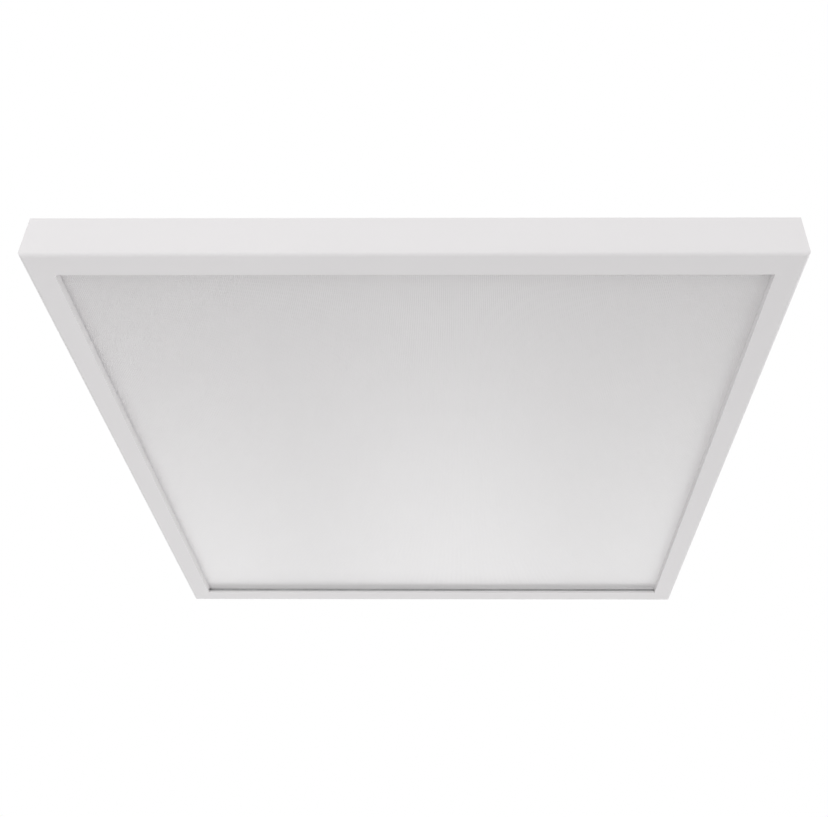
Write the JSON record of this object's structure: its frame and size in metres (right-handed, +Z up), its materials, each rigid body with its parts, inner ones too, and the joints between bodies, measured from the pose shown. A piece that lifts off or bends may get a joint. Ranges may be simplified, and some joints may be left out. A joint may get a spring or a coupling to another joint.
{
  "type": "surface mount led panel",
  "caption": "Square surface mount LED ceiling panel: white mitred frame with a removable end rail and a slide-in edge-lit module with a driver on its back.",
  "frame": {"origin": "centre of the ceiling plane, which is the middle of the four ceiling screw slots", "axes": "+Z up, towards the ceiling; the near side of the picture is -Y, and the end rail and module come out along +Y"},
  "size_m": [0.6, 0.6, 0.04],
  "materials": {
    "frame_paint": "fine white powder coat",
    "module_paint": "satin white coat",
    "zinc_steel": "zinc plated, satin",
    "screw_steel": "zinc plated, bright",
    "seal_rubber": "matt, mid grey",
    "grommet_rubber": "matt black",
    "diffuser_acrylic": "opal, fine prisms on the face",
    "light_guide_acrylic": "clear, polished edges",
    "reflector_film": "white film",
    "foam": "light grey closed-cell foam",
    "back_plate_paint": "satin white coat",
    "led_board_mask": "white solder mask",
    "led_phosphor": "yellow phosphor in a white package",
    "driver_plastic": "white, finely grained",
    "terminal_plastic": "light grey nylon",
    "button_plastic": "orange nylon",
    "circuit_board": "green solder mask",
    "ferrite": "dark grey, sintered",
    "winding_tape": "yellow tape",
    "capacitor_sleeve": "black sleeve, bare top",
    "contact_brass": "plain",
    "spring_steel": "stainless",
    "lead_white": "white insulation",
    "connector_plastic": "black, finely grained"
  },
  "bodies": {
    "frame": {"near_rail": "frame_paint", "left_rail": "frame_paint", "right_rail": "frame_paint", "corner_key_near_left": "zinc_steel", "corner_key_near_right": "zinc_steel", "corner_key_far_left": "zinc_steel", "corner_key_far_right": "zinc_steel", "key_grub_screws": "screw_steel", "ceiling_bracket_near_left": "zinc_steel", "ceiling_bracket_near_right": "zinc_steel", "ceiling_bracket_far_left": "zinc_steel", "ceiling_bracket_far_right": "zinc_steel", "bracket_rivets": "screw_steel"},
    "end_rail": {"end_rail": "frame_paint", "end_seal": "seal_rubber", "end_rail_screws": "screw_steel"},
    "module": {"module_rail_near": "module_paint", "module_rail_left": "module_paint", "module_rail_right": "module_paint", "module_rail_far": "module_paint", "module_corner_plate_near_left": "zinc_steel", "module_corner_plate_near_right": "zinc_steel", "module_corner_plate_far_left": "zinc_steel", "module_corner_plate_far_right": "zinc_steel", "diffuser": "diffuser_acrylic", "light_guide": "light_guide_acrylic", "reflector_sheet": "reflector_film", "foam_pad": "foam", "back_plate": "back_plate_paint", "back_plate_screws": "screw_steel", "led_board_left": "led_board_mask", "led_board_right": "led_board_mask", "leds_left": "led_phosphor", "leds_right": "led_phosphor", "board_link_lead": "lead_white", "driver_base": "driver_plastic", "driver_cover": "driver_plastic", "driver_screws": "screw_steel", "driver_board": "circuit_board", "transformer_core": "ferrite", "transformer_winding": "winding_tape", "board_choke": "ferrite", "board_capacitors": "capacitor_sleeve", "terminal_block": "terminal_plastic", "contact_clamps": "spring_steel", "contact_bars": "contact_brass", "cord_clamp": "terminal_plastic", "cord_clamp_screws": "screw_steel", "lead_grommet": "grommet_rubber", "driver_lead": "lead_white", "lead_plug": "connector_plastic", "lead_socket": "connector_plastic", "panel_lead": "lead_white", "plate_grommet": "grommet_rubber", "lead_clips": "driver_plastic"},
    "terminal_cover": {"terminal_cover": "driver_plastic"},
    "live_button": {"live_button": "button_plastic"},
    "neutral_button": {"neutral_button": "button_plastic"},
    "earth_button": {"earth_button": "button_plastic"}
  },
  "joints": [
    {"name": "module_slide", "type": "slide", "parent": "frame", "child": "module", "axis": [0, 1, 0], "range_m": [0, 0.6]},
    {"name": "end_rail_pull", "type": "slide", "parent": "frame", "child": "end_rail", "axis": [0, 1, 0], "range_m": [0, 0.72]},
    {"name": "terminal_cover_hinge", "type": "hinge", "parent": "module", "child": "terminal_cover", "pos_m": [-0.0378, 0.19, -0.0058], "axis": [0, 1, 0], "range_deg": [0, 90]},
    {"name": "live_button_press", "type": "slide", "parent": "module", "child": "live_button", "axis": [0, 0, -1], "range_m": [0, 0.0014], "stiffness_N_per_m": 900, "springref_m": -0.001},
    {"name": "neutral_button_press", "type": "slide", "parent": "module", "child": "neutral_button", "axis": [0, 0, -1], "range_m": [0, 0.0014], "stiffness_N_per_m": 900, "springref_m": -0.001},
    {"name": "earth_button_press", "type": "slide", "parent": "module", "child": "earth_button", "axis": [0, 0, -1], "range_m": [0, 0.0014], "stiffness_N_per_m": 900, "springref_m": -0.001}
  ],
  "couplings": [
    {"joint": "end_rail_pull", "follows": "module_slide", "ratio": 1.2}
  ]
}
